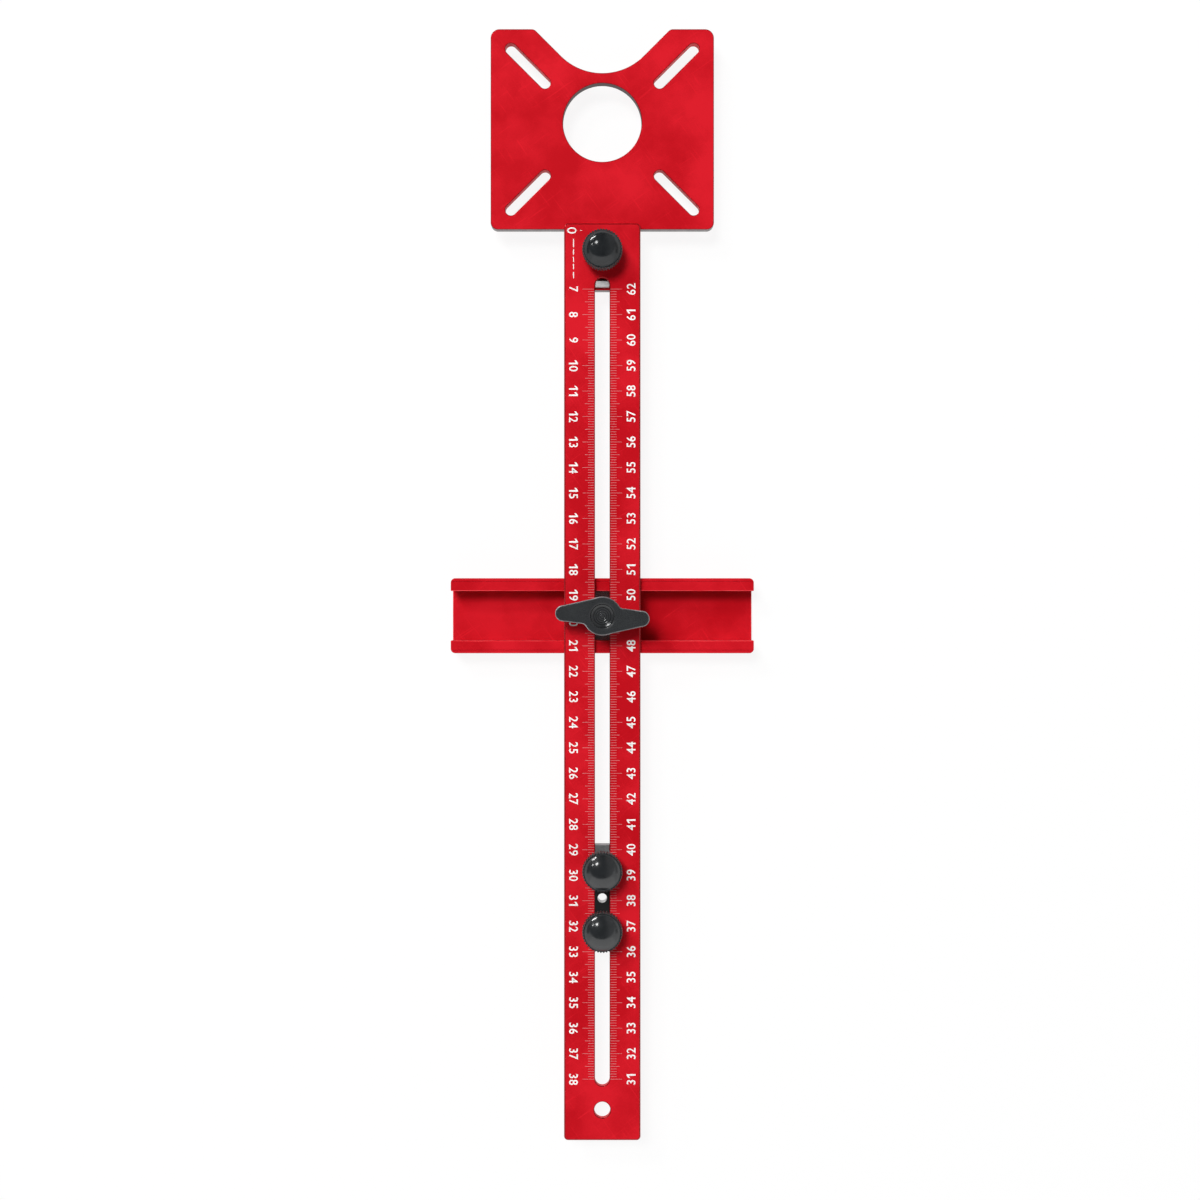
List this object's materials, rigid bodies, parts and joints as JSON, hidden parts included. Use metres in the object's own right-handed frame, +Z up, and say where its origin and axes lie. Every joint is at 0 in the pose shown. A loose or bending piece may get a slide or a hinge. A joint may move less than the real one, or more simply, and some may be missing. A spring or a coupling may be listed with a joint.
{
  "type": "router circle cutting jig",
  "caption": "Slotted ruler on a flat router base plate, with a sliding pivot block for cutting circles and a sliding channel fence held by a wing knob.",
  "frame": {"origin": "centre of the bit opening, on the underside of the base plate", "axes": "+X across the ruler, +Y along the ruler from its free end towards the notch, +Z up out of the plate"},
  "size_m": [0.1194, 0.4371, 0.0299],
  "materials": {
    "red_anodised": "red anodised, fine satin grain",
    "bare_key": "bare, milled",
    "grey_steel": "grey, milled",
    "knob_plastic": "dark grey, knurled",
    "cap_plastic": "near black, polished",
    "bright_steel": "zinc plated",
    "wing_plastic": "dark grey, moulded",
    "brass": "turned"
  },
  "bodies": {
    "base_and_ruler": {"base_plate": "red_anodised", "locating_key": "bare_key", "ruler_bar": "red_anodised"},
    "pivot_block": {"pivot_block": "grey_steel"},
    "fence_bolt": {"fence_t_bolt": "bright_steel"},
    "fence": {"fence_channel": "red_anodised"},
    "base_washer": {"base_knob_washer": "bright_steel"},
    "base_knob": {"base_knob_body": "knob_plastic", "base_knob_cap": "cap_plastic", "base_knob_bolt": "bright_steel"},
    "upper_washer": {"upper_knob_washer": "bright_steel"},
    "upper_knob": {"upper_knob_body": "knob_plastic", "upper_knob_cap": "cap_plastic", "upper_knob_bolt": "bright_steel"},
    "lower_washer": {"lower_knob_washer": "bright_steel"},
    "lower_knob": {"lower_knob_body": "knob_plastic", "lower_knob_cap": "cap_plastic", "lower_knob_bolt": "bright_steel"},
    "wing_washer": {"wing_knob_washer": "bright_steel"},
    "wing_knob": {"wing_knob_body": "wing_plastic", "wing_knob_insert": "brass", "wing_knob_cap": "wing_plastic"}
  },
  "joints": [
    {"name": "pivot_slide", "type": "slide", "parent": "base_and_ruler", "child": "pivot_block", "axis": [0, 1, 0], "range_m": [-0.05, 0.04]},
    {"name": "fence_travel", "type": "slide", "parent": "base_and_ruler", "child": "fence_bolt", "axis": [0, 1, 0], "range_m": [-0.03, 0.112]},
    {"name": "fence_shift", "type": "slide", "parent": "fence_bolt", "child": "fence", "axis": [1, 0, 0], "range_m": [-0.044, 0.044]},
    {"name": "base_knob_lift", "type": "slide", "parent": "base_and_ruler", "child": "base_washer", "axis": [0, 0, 1], "range_m": [0, 0.0024]},
    {"name": "base_knob_turn", "type": "hinge", "parent": "base_washer", "child": "base_knob", "pos_m": [0, -0.0523, 0.0086], "axis": [0, 0, 1], "range_deg": [0, 1080]},
    {"name": "upper_knob_lift", "type": "slide", "parent": "pivot_block", "child": "upper_washer", "axis": [0, 0, 1], "range_m": [0, 0.0024]},
    {"name": "upper_knob_turn", "type": "hinge", "parent": "upper_washer", "child": "upper_knob", "pos_m": [0, -0.2935, 0.0086], "axis": [0, 0, 1], "range_deg": [0, 1080]},
    {"name": "lower_knob_lift", "type": "slide", "parent": "pivot_block", "child": "lower_washer", "axis": [0, 0, 1], "range_m": [0, 0.0024]},
    {"name": "lower_knob_turn", "type": "hinge", "parent": "lower_washer", "child": "lower_knob", "pos_m": [0, -0.3169, 0.0086], "axis": [0, 0, 1], "range_deg": [0, 1080]},
    {"name": "wing_knob_lift", "type": "slide", "parent": "fence_bolt", "child": "wing_washer", "axis": [0, 0, 1], "range_m": [0, 0.0024]},
    {"name": "wing_knob_turn", "type": "hinge", "parent": "wing_washer", "child": "wing_knob", "pos_m": [0, -0.1944, 0.0086], "axis": [0, 0, 1], "range_deg": [0, 1080]}
  ],
  "couplings": [
    {"joint": "base_knob_turn", "follows": "base_knob_lift", "rad_per_m": 7854},
    {"joint": "upper_knob_turn", "follows": "upper_knob_lift", "rad_per_m": 7854},
    {"joint": "lower_knob_turn", "follows": "lower_knob_lift", "rad_per_m": 7854},
    {"joint": "wing_knob_turn", "follows": "wing_knob_lift", "rad_per_m": 7854}
  ]
}
